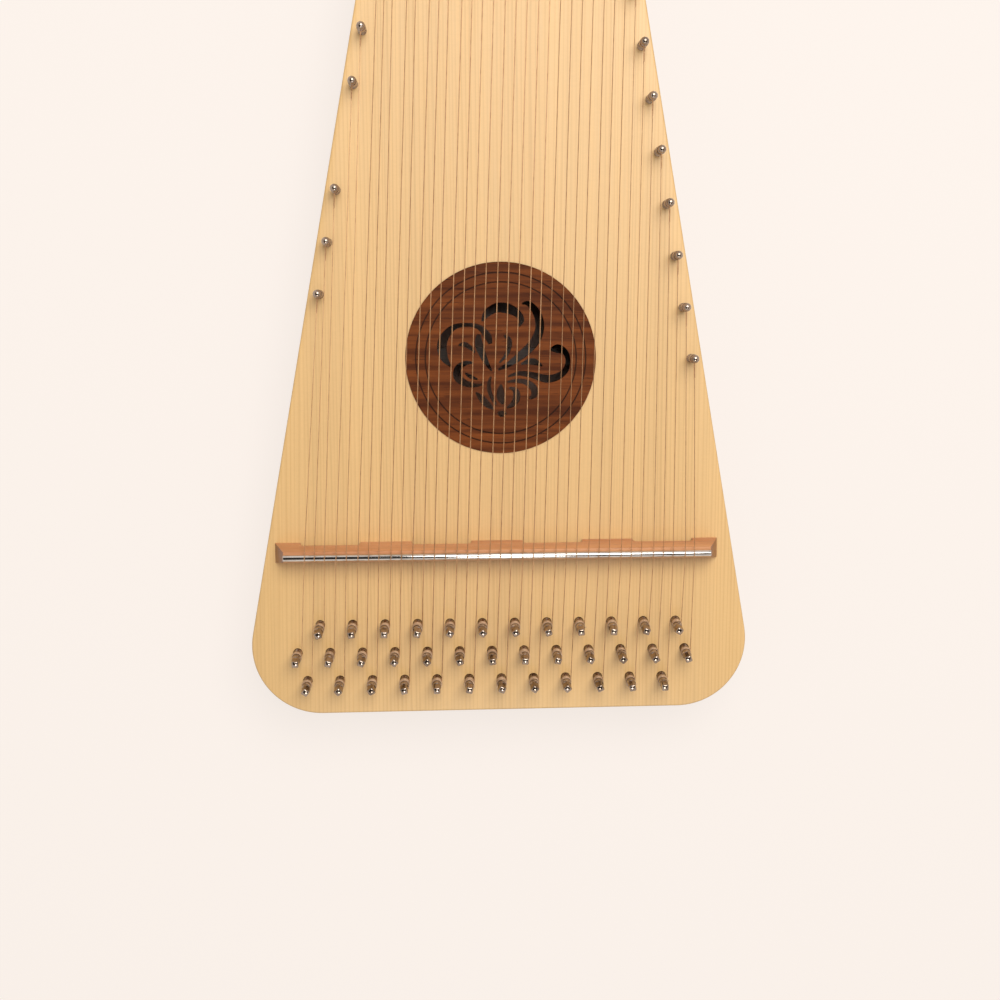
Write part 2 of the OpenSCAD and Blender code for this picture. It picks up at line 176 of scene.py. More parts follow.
naturals = STRINGS - SHARPS
last_hitch_y = HITCH_FIRST_Y + (naturals - 1) * HITCH_PITCH
apex_y = last_hitch_y + NOSE_RUN
taper = math.atan(TAIL_W / 2 / apex_y)
side_reach = TAIL_W / 2 * math.cos(taper)
left_normal = (-math.cos(taper), math.sin(taper))
right_normal = (math.cos(taper), math.sin(taper))
tail_normal = (math.sin(TAIL_SKEW), -math.cos(TAIL_SKEW))
left_corner = meet(left_normal, side_reach - CORNER_R, tail_normal, -CORNER_R)
right_corner = meet(right_normal, side_reach - CORNER_R, tail_normal, -CORNER_R)
nose_centre = Vector((0, apex_y - NOSE_R / math.sin(taper)))
middle_x = (left_corner.x + right_corner.x) / 2
middle_y = (left_corner.y - CORNER_R + nose_centre.y + NOSE_R) / 2
nose_block_y = HITCH_FIRST_Y + (naturals - NOSE_BLOCK_SLOTS) * HITCH_PITCH


def centred(x, y, z=0.0):
    """A point given from the tail's middle, in the part's frame."""
    return Vector((x - middle_x, y - middle_y, z))


def half_width(y, edge=0.0):
    """Half the body's width at a distance from the tail, up to a distance from the edge."""
    return (apex_y - y) * math.tan(taper) - edge / math.cos(taper)


def arc(centre, radius, start, end, steps):
    """Points of an arc, given from the tail's middle."""
    angles = [start + (end - start) * i / steps for i in range(steps + 1)]
    return [(centre[0] + radius * math.cos(a), centre[1] + radius * math.sin(a)) for a in angles]


tail_angle = TAIL_SKEW - math.pi / 2
right_arc = arc(right_corner, CORNER_R - EDGE_EASE, tail_angle, taper, CORNER_STEPS)
nose_arc = arc(nose_centre, NOSE_R - EDGE_EASE, taper, math.pi - taper, NOSE_STEPS)
left_arc = arc(
    left_corner, CORNER_R - EDGE_EASE, math.pi - taper, tail_angle + 2 * math.pi, CORNER_STEPS)


# Strings and pins: strings count from the left, first the sharps from high to low, then the
# naturals from low to high

def is_sharp(k):
    """Whether a string goes to the left edge, as the black keys' notes do."""
    return k < SHARPS


def hitch_place(k):
    """Where a string's hitch pin stands on the soundboard."""
    if is_sharp(k):
        slot = SHARP_SLOTS[k % len(SHARP_SLOTS)] + SLOTS_PER_OCTAVE * (k // len(SHARP_SLOTS))
        y = HITCH_FIRST_Y + slot * HITCH_PITCH + SHARP_OFFSET
    else:
        y = HITCH_FIRST_Y + (STRINGS - 1 - k) * HITCH_PITCH
    return centred((-1 if is_sharp(k) else 1) * half_width(y, HITCH_EDGE), y, TOP_Z)


def octave(k):
    """A string's octave: 0 is low, 1 is middle, and 2 is high with the topmost C."""
    if is_sharp(k):
        return 2 - k // len(SHARP_SLOTS)
    return min(2, (k - SHARPS) // SLOTS_PER_OCTAVE)


class Local:
    """A tuning pin's own axes, with Z up along the pin from the soundboard's face."""

    def __init__(self, joint):
        self.origin = Vector(joint["pos_m"]) / MM
        self.z = Vector(joint["axis"]).normalized()
        self.x = Vector((1, 0, 0))
        self.y = self.z.cross(self.x)

    def __call__(self, x, y, z):
        return self.origin + x * self.x + y * self.y + z * self.z


pins = [Local(joint) for joint in frame["joints"]]


# Building meshes

class Shape:
    """Points in millimetres and the faces between them, which piece() turns into one object."""

    def __init__(self):
        self.points = []
        self.faces = []

    def skin(self, loops, first=True, last=True):
        """Joins loops of equal length that turn anticlockwise about the way they are stacked.

        first and last say whether the end loops are closed with a face.
        """
        count = len(loops[0])
        start = len(self.points)
        for loop in loops:
            self.points += [tuple(p) for p in loop]
        for i in range(len(loops) - 1):
            a = start + i * count
            b = a + count
            for j in range(count):
                k = (j + 1) % count
                self.faces.append((a + j, a + k, b + k, b + j))
        if first:
            self.faces.append(tuple(reversed(range(start, start + count))))
        if last:
            self.faces.append(tuple(range(len(self.points) - count, len(self.points))))

    def lathe(self, profile, place, sides):
        """Turns radius and height pairs round a local Z axis."""
        angles = [2 * math.pi * i / sides for i in range(sides)]
        self.skin([[place(r * math.cos(a), r * math.sin(a), z) for a in angles] for r, z in profile])

    def tube(self, path, radius, sides):
        """A wire along a path of points."""
        path = [Vector(p) for p in path]
        along = (path[1] - path[0]).normalized()
        side = along.orthogonal().normalized()
        angles = [2 * math.pi * j / sides for j in range(sides)]
        loops = []
        for i, point in enumerate(path):
            ahead = path[min(i + 1, len(path) - 1)] - path[max(i - 1, 0)]
            if ahead.length > 0:
                turn = along.rotation_difference(ahead.normalized())
                side = turn @ side
                along = ahead.normalized()
            up = along.cross(side)
            loops.append([point + radius * (math.cos(a) * side + math.sin(a) * up) for a in angles])
        self.skin(loops)

    def torus(self, centre, x, y, big, small, steps, sides):
        """A closed ring of wire in the plane of x and y."""
        axis = x.cross(y)
        start = len(self.points)
        for i in range(steps):
            a = 2 * math.pi * i / steps
            out = math.cos(a) * x + math.sin(a) * y
            for j in range(sides):
                b = 2 * math.pi * j / sides
                self.points.append(tuple(
                    centre + out * (big + small * math.cos(b)) + axis * small * math.sin(b)))
        for i in range(steps):
            for j in range(sides):
                n = (j + 1) % sides
                m = (i + 1) % steps
                self.faces.append(tuple(
                    start + q for q in (i * sides + j, m * sides + j, m * sides + n, i * sides + n)))


def dome(radius, top, crown):
    """Radius and height pairs of a dome, from its edge to close to its tip."""
    angles = [DOME_ANGLE * i / DOME_STEPS for i in range(DOME_STEPS + 1)]
    return [(radius * math.cos(a), top - crown + crown * math.sin(a)) for a in angles]


def mesh_of(name, shape):
    """A shape as a mesh in metres."""
    mesh = bpy.data.meshes.new(name)
    mesh.from_pydata([tuple(c * MM for c in p) for p in shape.points], [], shape.faces)
    return mesh


def piece(name, shape, material, body, replaces, sharp=35):
    """Makes a shape into a piece that rides on a body and stands for CAD nodes."""
    return finished(name, mesh_of(name, shape), material, body, replaces, sharp)


def finished(name, mesh, material, body, replaces, sharp=35):
    """Puts a mesh in the scene, smooth but for edges sharper than an angle in degrees."""
    mesh.materials.clear()
    mesh.materials.append(material)
    mesh.polygons.foreach_set("use_smooth", [True] * len(mesh.polygons))
    mesh.set_sharp_from_angle(angle=math.radians(sharp))
    mesh.update()
    obj = bpy.data.objects.new(name, mesh)
    bpy.context.scene.collection.objects.link(obj)
    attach(obj, body)
    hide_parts(*replaces)
    return obj


def inset(loop, distance):
    """An anticlockwise convex loop moved inwards."""
    moved = []
    count = len(loop)
    for i in range(count):
        before, here, after = (Vector(loop[(i + j) % count]) for j in (-1, 0, 1))
        a = (here - before).normalized()
        b = (after - here).normalized()
        na = Vector((-a.y, a.x))
        nb = Vector((-b.y, b.x))
        share = na + nb
        moved.append(here + share * (distance * 2 / share.length_squared))
    return moved


def board(name, loop, low_z, high_z, low_round, high_round, material, replaces, holes=()):
    """A flat board with rounded edges. A hole is a list of loops from the top down."""
    shape = Shape()
    angles = [math.pi / 2 * i / EDGE_STEPS for i in range(EDGE_STEPS + 1)]
    levels = [(low_round * (1 - math.sin(a)), low_z + low_round * (1 - math.cos(a))) for a in angles]
    levels += [(high_round * (1 - math.cos(a)), high_z - high_round * (1 - math.sin(a))) for a in angles]
    shape.skin(
        [[centred(x, y, z) for x, y in inset(loop, distance)] for distance, z in levels],
        first=not holes, last=not holes)
    for loops in holes:
        walls = [[Vector(p) for p in reversed(hole)] for hole in reversed(loops)]
        shape.skin(walls, first=False, last=False)
    mesh = mesh_of(name, shape)
    if holes:
        close_faces(mesh, (low_z, high_z))
    return finished(name, mesh, material, "body", replaces)


def close_faces(mesh, heights):
    """Fills the level faces of a board at these heights, round the holes in it."""
    bm = bmesh.new()
    bm.from_mesh(mesh)
    for z in heights:
        rim = [
            edge for edge in bm.edges
            if edge.is_boundary and all(abs(v.co.z / MM - z) < 0.001 for v in edge.verts)]
        bmesh.ops.triangle_fill(bm, use_beauty=True, edges=rim, normal=UP)
    bmesh.ops.recalc_face_normals(bm, faces=bm.faces)
    bm.to_mesh(mesh)
    bm.free()


# Materials

def srgb(r, g, b):
    """A colour of 0 to 255 as seen on a screen, in linear values."""
    linear = [c / 255 / 12.92 if c <= 10 else ((c / 255 + 0.055) / 1.055) ** 2.4 for c in (r, g, b)]
    return (*linear, 1.0)


class Paint:
    """One material's node tree, with short ways to add to it.

    Nearly all of a noise lies between NOISE_LOW and NOISE_HIGH.
    """

    NOISE_LOW = 0.3
    NOISE_HIGH = 0.7

    def __init__(self, name):
        self.material = bpy.data.materials.new(name)
        self.material.use_nodes = True
        self.nodes = self.material.node_tree.nodes
        self.links = self.material.node_tree.links
        self.shader = self.nodes["Principled BSDF"]
        self.coords = self.nodes.new("ShaderNodeTexCoord").outputs["Object"]
        self.colour = None

    def link(self, out, into):
        self.links.new(out, into)

    def base(self, colour):
        """Makes a socket the surface's colour, and keeps it for what is painted over it."""
        self.colour = colour
        self.link(colour, self.shader.inputs["Base Color"])

    def plain(self, name, value):
        """Sets a number that is the same all over the surface."""
        self.shader.inputs[name].default_value = value

    def turned(self, turn):
        """The object's coordinates with Y along the grain."""
        spin = self.nodes.new("ShaderNodeMapping")
        spin.inputs["Rotation"].default_value = (0, 0, -turn)
        self.link(self.coords, spin.inputs["Vector"])
        return spin

    def noise(self, scale, turn=0.0, detail=2.0, rough=0.5, shift=0.0, warp=None):
        """Noise whose frequencies along X, Y and Z are scale, in cells a metre."""
        where = self.nodes.new("ShaderNodeMapping")
        spin = self.turned(turn)
        where.inputs["Scale"].default_value = scale
        where.inputs["Location"].default_value = (shift, shift, shift)
        source = spin.outputs["Vector"]
        if warp is not None:
            add = self.nodes.new("ShaderNodeVectorMath")
            add.operation = "ADD"
            self.link(source, add.inputs[0])
            self.link(warp, add.inputs[1])
            source = add.outputs["Vector"]
        self.link(source, where.inputs["Vector"])
        noise = self.nodes.new("ShaderNodeTexNoise")
        noise.inputs["Scale"].default_value = 1.0
        noise.inputs["Detail"].default_value = detail
        noise.inputs["Roughness"].default_value = rough
        self.link(where.outputs["Vector"], noise.inputs["Vector"])
        return noise.outputs["Fac"]

    def warp(self, scale, turn, reach):
        """A slow sideways drift, in metres, that bends what follows it."""
        drift = self.ranged(self.noise(scale, turn, 1.0, shift=7.3), -reach, reach)
        join = self.nodes.new("ShaderNodeCombineXYZ")
        self.link(drift, join.inputs["X"])
        self.link(drift, join.inputs["Z"])
        return join.outputs["Vector"]

    def spread(self, value, low, high, to_low, to_high, smooth=False):
        """Maps a value from one range to another, and keeps it inside."""
        node = self.nodes.new("ShaderNodeMapRange")
        node.interpolation_type = "SMOOTHSTEP" if smooth else "LINEAR"
        node.inputs["From Min"].default_value = low
        node.inputs["From Max"].default_value = high
        node.inputs["To Min"].default_value = to_low
        node.inputs["To Max"].default_value = to_high
        self.link(value, node.inputs["Value"])
        return node.outputs["Result"]

    def ranged(self, noise, to_low, to_high):
        """Maps a noise to a range."""
        return self.spread(noise, self.NOISE_LOW, self.NOISE_HIGH, to_low, to_high)

    def mix(self, share, a, b, kind="MIX"):
        """Mixes two colours; each may be a socket or a plain colour."""
        node = self.nodes.new("ShaderNodeMix")
        node.data_type = "RGBA"
        node.blend_type = kind
        for value, socket in ((share, node.inputs[0]), (a, node.inputs[6]), (b, node.inputs[7])):
            if isinstance(value, bpy.types.NodeSocket):
                self.link(value, socket)
            else:
                socket.default_value = value
        return node.outputs[2]

    def shade(self, colour, noise, amount):
        """Lightens and darkens a colour by a noise."""
        return self.mix(1.0, colour, self.ranged(noise, 1 - amount, 1 + amount), "MULTIPLY")

    def maths(self, kind, a, b=0.0):
        """One step of arithmetic; each value may be a socket or a plain number."""
        node = self.nodes.new("ShaderNodeMath")
        node.operation = kind
        for value, socket in ((a, node.inputs[0]), (b, node.inputs[1])):
            if isinstance(value, bpy.types.NodeSocket):
                self.link(value, socket)
            else:
                socket.default_value = value
        return node.outputs["Value"]

    def normal(self, axis):
        """One part of the direction that the surface faces."""
        parts = self.nodes.new("ShaderNodeSeparateXYZ")
        self.link(self.nodes.new("ShaderNodeNewGeometry").outputs["True Normal"], parts.inputs["Vector"])
        return parts.outputs[axis]

    def facing_up(self, low, high):
        """Goes from 0 to 1 as a surface turns to face straight up."""
        return self.spread(self.normal("Z"), low, high, 0.0, 1.0)

    def facing_sideways(self, low, high):
        """Goes from 0 to 1 as a surface turns to face to the left or the right."""
        return self.spread(self.maths("ABSOLUTE", self.normal("X")), low, high, 0.0, 1.0)

    def bump(self, height, strength, distance):
        """Fine relief, whose distance is in metres."""
        node = self.nodes.new("ShaderNodeBump")
        node.inputs["Strength"].default_value = strength
        node.inputs["Distance"].default_value = distance
        self.link(height, node.inputs["Height"])
        self.link(node.outputs["Normal"], self.shader.inputs["Normal"])

    def gloss(self, noise, low, high):
        """Lets the roughness follow a noise."""
        self.link(self.ranged(noise, low, high), self.shader.inputs["Roughness"])


# A noise's scale is in cells a metre, across the grain, along it and through the board

def spruce(name, light, line, turn=0.0, pitch=2.3, painted_inner_shade=None):
    """Straight quarter-sawn grain along Y: each year darkens softly and ends in a thin line.

    pitch is the width of a year. The last argument darkens faces that face up: painted shade for the dim
    inside of the box.
    """
    paint = Paint(name)
    drift = paint.noise((16, 0.9, 16), turn, 1.0, shift=7.3)
    across = paint.turned(turn).outputs["Vector"]
    parts = paint.nodes.new("ShaderNodeSeparateXYZ")
    paint.link(across, parts.inputs["Vector"])
    years = paint.maths("MULTIPLY", parts.outputs["X"], 1 / (pitch * MM))
    years = paint.maths("ADD", years, paint.spread(drift, 0.0, 1.0, -6.0, 6.0))
    uneven = paint.noise((210, 2.5, 210), turn, 2.0, shift=1.9)
    years = paint.maths("ADD", years, paint.spread(uneven, 0.0, 1.0, -0.9, 0.9))
    age = paint.maths("FRACT", years)
    late = paint.spread(age, 0.45, 0.92, 0.0, 1.0, smooth=True)
    early = paint.spread(age, 0.92, 1.0, 1.0, 0.0)
    ring = paint.maths("MULTIPLY", late, early)
    strong = paint.ranged(paint.noise((90, 1.3, 90), turn, 2.0, shift=4.1), 0.25, 1.0)
    colour = paint.mix(paint.maths("MULTIPLY", ring, strong), light, line)
    fibres = paint.noise((1900, 26, 1900), turn, 3.0, 0.6, shift=3.1)
    colour = paint.shade(colour, fibres, 0.03)
    broad = paint.noise((70, 0.9, 70), turn, 3.0, 0.6, shift=5.7)
    colour = paint.shade(colour, broad, 0.045)
    flecks = paint.noise((420, 1300, 420), turn, 1.0, 0.5, shift=9.4)
    colour = paint.shade(colour, flecks, 0.012)
    # Painted shade: faces that face up, inside the box, are multiplied darker as the box's dim inside.
    if painted_inner_shade:
        colour = paint.mix(paint.facing_up(0.2, 0.6), colour, painted_inner_shade, "MULTIPLY")
    paint.base(colour)
    paint.gloss(fibres, 0.42, 0.54)
    paint.bump(paint.maths("ADD", ring, paint.ranged(fibres, 0.0, 0.6)), 0.12, 0.00005)
    paint.plain("Specular IOR Level", 0.7)
    paint.plain("Coat Weight", 0.3)
    paint.plain("Coat Roughness", 0.4)
    return paint.material


def hardwood(name, light, dark, turn=0.0, pore=0.35, coat=0.15, streak=(60, 2.5, 30), rough=(0.36, 0.5)):
    """Close grain along the local Y axis, with soft streaks and short dark pores."""
    paint = Paint(name)
    drift = paint.warp((14, 5, 14), turn, 0.002)
    streaks = paint.noise(streak, turn, 4.0, 0.62, warp=drift)
    colour = paint.mix(paint.spread(streaks, 0.34, 0.66, 0.0, 1.0, smooth=True), light, dark)
    fine = paint.noise((620, 22, 620), turn, 3.0, 0.6, shift=2.2, warp=drift)
    colour = paint.shade(colour, fine, 0.10)
    pores = paint.noise((1500, 75, 1500), turn, 2.0, 0.5, shift=6.1, warp=drift)
    short = paint.spread(pores, 0.62, 0.72, 0.0, pore, smooth=True)
    paint.base(paint.mix(short, colour, tuple(c * 0.45 for c in dark[:3]) + (1.0,)))
    paint.gloss(fine, *rough)
    paint.bump(paint.maths("SUBTRACT", paint.ranged(fine, 0.0, 0.5), short), 0.22, 0.00008)
    paint.plain("Coat Weight", coat)
    paint.plain("Coat Roughness", 0.3)
    return paint


def metal(name, colour, tarnish, rough, scratches=(900, 900, 900), bump=0.1, shine=1.0):
    """Plated or drawn metal with faint wear."""
    paint = Paint(name)
    paint.plain("Metallic", shine)
    patches = paint.noise((170, 170, 170), 0.0, 3.0, 0.6)
    colour = paint.mix(paint.spread(patches, 0.42, 0.72, 0.0, 0.6, smooth=True), colour, tarnish)
    fine = paint.noise(scratches, 0.0, 2.0, 0.6, shift=4.4)
    paint.base(paint.shade(colour, fine, 0.06))
    paint.gloss(fine, *rough)
    paint.bump(fine, bump, 0.00004)
    return paint.material


spruce_top = spruce("spruce_top", srgb(221, 179, 116), srgb(210, 166, 102))
# The back board's inner face and the braces' tops get painted shade for the dim inside of the box.
spruce_back = spruce(
    "spruce_back", srgb(221, 179, 116), srgb(202, 155, 94), pitch=2.9, painted_inner_shade=(0.2, 0.11, 0.06, 1))
spruce_brace = spruce(
    "spruce_brace", srgb(150, 112, 70), srgb(120, 84, 50), math.pi / 2, 1.8, painted_inner_shade=(0.25, 0.2, 0.16, 1))
maple_light = srgb(214, 163, 108)
maple_dark = srgb(188, 132, 80)
maple_block = hardwood("maple_block", maple_light, maple_dark, turn=math.pi / 2).material
maple_left = hardwood("maple_left", maple_light, maple_dark, turn=-taper).material
maple_right = hardwood("maple_right", maple_light, maple_dark, turn=taper).material
nickel = metal("nickel_plate", srgb(162, 146, 132), srgb(96, 78, 62), (0.1, 0.22))
rod_steel = metal("rod_steel", srgb(206, 202, 198), srgb(172, 162, 152), (0.07, 0.15), (60, 2400, 2400), 0.03)
# The steel wire of the strings and windings is given a tan tint: painted reflection of the wooden soundboard
# over steel's own grey.
wire_steel = metal("music_wire", srgb(196, 156, 118), srgb(156, 114, 78), (0.34, 0.48))
coil_steel = metal("wound_wire", srgb(196, 166, 136), srgb(158, 126, 98), (0.45, 0.6), shine=0.6)


def beech_with_end_grain_and_painted_shade():
    """Beech that is darker on its end faces: partly its end grain, partly painted shade on the bridge's ends.
    """
    paint = hardwood(
        "beech_bridge", srgb(212, 154, 106), srgb(188, 124, 80), turn=math.pi / 2 + BRIDGE_SKEW, pore=0.5)
    # Darker end grain together with painted shade: faces turned to the left or right, the bridge's ends, are
    # multiplied darker.
    end_grain_and_painted_shade = (0.5, 0.42, 0.36, 1)
    paint.base(paint.mix(paint.facing_sideways(0.5, 0.8), paint.colour, end_grain_and_painted_shade, "MULTIPLY"))
    return paint.material


def walnut_with_dark_cuts():
    """Walnut with the grain across the instrument, much darker on the steep walls where the pattern is cut
    through.

    The floors of the two engraved rings, level with the soundboard, are darkened too.
    """
    paint = hardwood(
        "walnut_rosette", srgb(119, 62, 24), srgb(78, 35, 10), turn=math.pi / 2, pore=0.8, coat=0.0,
        streak=(230, 8, 80), rough=(0.45, 0.6))
    paint.plain("Specular IOR Level", 0.1)
    steep = paint.spread(paint.facing_up(0.2, 0.6), 0.0, 1.0, 1.0, 0.0)
    depth = paint.nodes.new("ShaderNodeSeparateXYZ")
    paint.link(paint.coords, depth.inputs["Vector"])
    groove = paint.spread(depth.outputs["Z"], (TOP_Z + 0.25) * MM, (TOP_Z + 0.5) * MM, 1.0, 0.0)
    # Darkens the steep walls of the cuts and the floors of the engraved rings towards near black.
    cut_darkening = paint.maths("MAXIMUM", paint.maths("MULTIPLY", steep, 0.85), paint.maths("MULTIPLY", groove, 0.75))
    paint.base(paint.mix(cut_darkening, paint.colour, srgb(40, 20, 10)))
    return paint.material


beech = beech_with_end_grain_and_painted_shade()
walnut = walnut_with_dark_cuts()


# The body

def circle_loop(x, y, z, radius, sides):
    """A level circle round a point given from the tail's middle."""
    angles = [2 * math.pi * i / sides for i in range(sides)]
    return [centred(x + radius * math.cos(a), y + radius * math.sin(a), z) for a in angles]


def leaning_loop(pin, z, radius, sides):
    """Where a leaning hole cuts a level plane."""
    height = (z - TOP_Z) / pin.z.z
    points = []
    for i in range(sides):
        a = 2 * math.pi * i / sides
        flat = pin(radius * math.cos(a), radius * math.sin(a), height)
        points.append(flat - pin.z * ((flat.z - z) / pin.z.z))
    return points


under_z = TOP_Z - BOARD_T
ledge_z = TOP_Z - ROSETTE_SEAT
seat_r = ROSETTE_R + ROSETTE_GAP
sound_r = ROSETTE_R - ROSETTE_LEDGE


def soundboard_holes():
    """The sound hole with the rosette's seat, then a hole for each tuning pin and hitch pin."""
    steps = ((seat_r, TOP_Z), (seat_r, ledge_z), (sound_r, ledge_z), (sound_r, under_z))
    holes = [[circle_loop(0, ROSETTE_Y, z, r, SEAT_SIDES) for r, z in steps]]
    for pin in pins:
        holes.append([leaning_loop(pin, z, PIN_R + PIN_HOLE_GAP, HOLE_SIDES) for z in (TOP_Z, under_z)])
    for k in range(STRINGS):
        spot = hitch_place(k)
        x, y = spot.x + middle_x, spot.y + middle_y
        holes.append([circle_loop(x, y, z, HITCH_R + HITCH_GAP, HOLE_SIDES) for z in (TOP_Z, under_z)])
    return holes


plan = right_arc + nose_arc + left_arc
board(
    "top_board", plan, under_z, TOP_Z, GLUED_EDGE_R, OUTER_EDGE_R, spruce_top, ["soundboard"],
    soundboard_holes())
board("back_board", plan, 0, BACK_T, OUTER_EDGE_R, GLUED_EDGE_R, spruce_back, ["back_plate"])


def glued(name, loop, material, node):
    """A block or a rail between the back and the soundboard."""
    board(name, loop, BACK_T, under_z, GLUED_EDGE_R, GLUED_EDGE_R, material, [node])


block_w = half_width(PIN_BLOCK_LEN)
tail_plan = right_arc + [(block_w, PIN_BLOCK_LEN), (-block_w, PIN_BLOCK_LEN)] + left_arc
glued("tail_block", tail_plan, maple_block, "pin_block")
nose_w = half_width(nose_block_y)
nose_plan = [(-nose_w, nose_block_y), (nose_w, nose_block_y)] + nose_arc
glued("nose_piece", nose_plan, maple_block, "nose_block")
for name, side, material, node in (
        ("left_side", -1, maple_left, "left_rail"), ("right_side", 1, maple_right, "right_rail")):
    corners = [
        (side * half_width(PIN_BLOCK_LEN, RAIL_W), PIN_BLOCK_LEN),
        (side * half_width(PIN_BLOCK_LEN), PIN_BLOCK_LEN),
        (side * half_width(nose_block_y), nose_block_y),
        (side * half_width(nose_block_y, RAIL_W), nose_block_y)]
    glued(name, corners[::side], material, node)

for node in frame["nodes"].values():
    if "brace" in node.name:
        node.material_slots[0].material = spruce_brace
frame["nodes"]["rosette"].material_slots[0].material = walnut


# The bridge and its rod

def eased_copy(node, name, width, material):
    """A copy of a CAD node's mesh with its flat faces joined up and its edges rounded."""
    source = frame["nodes"][node].data
    mesh = bpy.data.meshes.new(name)
    mesh.from_pydata([v.co[:] for v in source.vertices], [], [p.vertices[:] for p in source.polygons])
    bm = bmesh.new()
    bm.from_mesh(mesh)
    bmesh.ops.remove_doubles(bm, verts=bm.verts, dist=WELD * MM)
    bmesh.ops.dissolve_limit(bm, angle_limit=FLAT_ANGLE, verts=bm.verts, edges=bm.edges)
    crests = [e for e in bm.edges if len(e.link_faces) == 2 and e.calc_face_angle() > CREST_ANGLE]
    bmesh.ops.bevel(
        bm, geom=crests, offset=width * MM, offset_type="OFFSET", segments=3, profile=0.5,
        affect="EDGES", clamp_overlap=True)
    bm.to_mesh(mesh)
    bm.free()
    return finished(name, mesh, material, "body", [node], 40)


rod_along = Vector((math.cos(BRIDGE_SKEW), math.sin(BRIDGE_SKEW), 0))
rod_across = UP.cross(rod_along)
rod_middle = centred(-BRIDGE_SHIFT, BRIDGE_Y, ROD_Z)


def bridge_rod():
    """The rod with rounded rims, drawn along its own axis."""
    rim = []
    for i in range(4):
        a = math.pi / 2 * i / 3
        rim.append((ROD_R - ROD_EDGE_R * (1 - math.sin(a)), ROD_EDGE_R * (1 - math.cos(a)) - ROD_LEN / 2))
    half = [(ROD_CENTRE_R, -ROD_LEN / 2)] + rim
    profile = half + [(r, -z) for r, z in reversed(half)]
    rod = Shape()
    rod.lathe(profile, lambda x, y, z: rod_middle + x * rod_across + y * UP + z * rod_along, ROD_SIDES)
    piece("bridge_rod_steel", rod, rod_steel, "body", ["bridge_rod"])


eased_copy("bridge", "bridge_wood", BRIDGE_EDGE, beech)
bridge_rod()


# Hitch pins

def hitch_profile():
    """Radius and height pairs of a hitch pin: tip, grooved shank, shoulder, neck and head."""
    neck_z = HITCH_STAND - HEAD_H - NECK_LEN
    head_z = neck_z + NECK_LEN
    shank = [(0.6, -HITCH_DEPTH), (HITCH_R - 0.5, -HITCH_DEPTH)]
    shank += [(HITCH_R, -HITCH_DEPTH + 0.5), (HITCH_R, 0.4)]
    for i in range(GROOVES):
        z = 1.0 + GROOVE_PITCH * i
        shank += [(HITCH_R, z), (HITCH_R - GROOVE_DEPTH, z + 0.3)]
        shank += [(HITCH_R - GROOVE_DEPTH, z + 0.5), (HITCH_R, z + 0.75)]
    shoulder = [(HITCH_R, neck_z - 0.75), (HITCH_R - 0.18, neck_z - 0.45), (NECK_R + 0.2, neck_z - 0.1)]
    neck = [(NECK_R, neck_z + 0.15), (NECK_R, head_z - 0.15), (NECK_R + 0.25, head_z)]
    head = [(HEAD_R - 0.15, head_z + 0.2), (HEAD_R, head_z + 0.45), (HEAD_R - 0.22, head_z + 0.75)]
    return shank + shoulder + neck + head + dome(HEAD_R - 0.02, HITCH_STAND, HEAD_H - HEAD_RIM_H)


def fluted(base, x, y, z):
    """A point of a hitch pin, whose head is fluted round its side."""
    share = max(0, min(1, (z - HITCH_STAND + HEAD_H - 0.4) / 0.3, (HITCH_STAND - z) / 1.2))
    squeeze = 1 - FLUTE_SQUEEZE * share * (1 + math.cos(FLUTES * math.atan2(y, x)))
    return base + Vector((x * squeeze, y * squeeze, z))


def hitch_pins(name, first, last, node):
    """The hitch pins of one edge, as one piece."""
    shape = Shape()
    profile = hitch_profile()
    for k in range(first, last + 1):
        base = hitch_place(k)
        shape.lathe(profile, lambda x, y, z: fluted(base, x, y, z), HITCH_SIDES)
    piece(name, shape, nickel, "body", [node], 30)


hitch_pins("left_hitch_pins", 0, SHARPS - 1, "hitch_pins_left")
hitch_pins("right_hitch_pins", SHARPS, STRINGS - 1, "hitch_pins_right")


# Tuning pins with their windings

def coil_z(k):
    """Height of the middle of a winding's lowest turn."""
    return WINDING_Z - STRING_D[octave(k)] / 2


def tuning_pin(k):
    """A pin with a fine thread at the soundboard and a square head with a domed top."""
    place = pins[k]
    turn = math.pi / 2 * (k * GOLDEN % 1)
    angles = [turn + 2 * math.pi * i / PIN_SIDES for i in range(PIN_SIDES)]

    def ring(z, radius, flat=None, thread=0.0):
        """One cross-section, squared off at flat or with a thread cut in."""
        loop = []
        for a in angles:
            climb = (z / THREAD_PITCH - a / (2 * math.pi)) % 1
            r = radius - thread * abs(2 * climb - 1)
            if flat:
                r = min(r, flat / max(abs(math.cos(a - turn)), abs(math.sin(a - turn))))
            loop.append(place(r * math.cos(a), r * math.sin(a), z))
        return loop

    loops = [ring(-PIN_DEPTH, PIN_R - PIN_TIP), ring(PIN_TIP - PIN_DEPTH, PIN_R)]
    loops.append(ring(-THREAD_LOW - 0.3, PIN_R))
    threads = int((THREAD_TOP + THREAD_LOW) / THREAD_PITCH * THREAD_STEPS)
    for i in range(threads + 1):
        z = THREAD_PITCH / THREAD_STEPS * i - THREAD_LOW
        loops.append(ring(z, PIN_R, thread=THREAD_DEPTH * min(1, (threads - i) / 3)))
    shaft_top = PIN_STAND - DRIVE_LEN
    loops += [ring(shaft_top - 0.1, PIN_R), ring(shaft_top, PIN_R - 0.08)]
    loops.append(ring(shaft_top + 0.25, PIN_R - 0.02, DRIVE_FLAT + 0.18))
    loops.append(ring(shaft_top + 0.6, PIN_R - 0.01, DRIVE_FLAT))
    for i, (r, z) in enumerate(dome(PIN_R - 0.01, PIN_STAND, DRIVE_CROWN)):
        flat = DRIVE_FLAT * math.cos(DOME_ANGLE * i / DOME_STEPS) ** CROWN_POWER
        loops.append(ring(z, r, flat))
    shape = Shape()
    shape.skin(loops)
    name = f"tuning_pin_{k + 1:02d}"
    piece(f"pin_steel_{k + 1:02d}", shape, nickel, name, [name], 28)


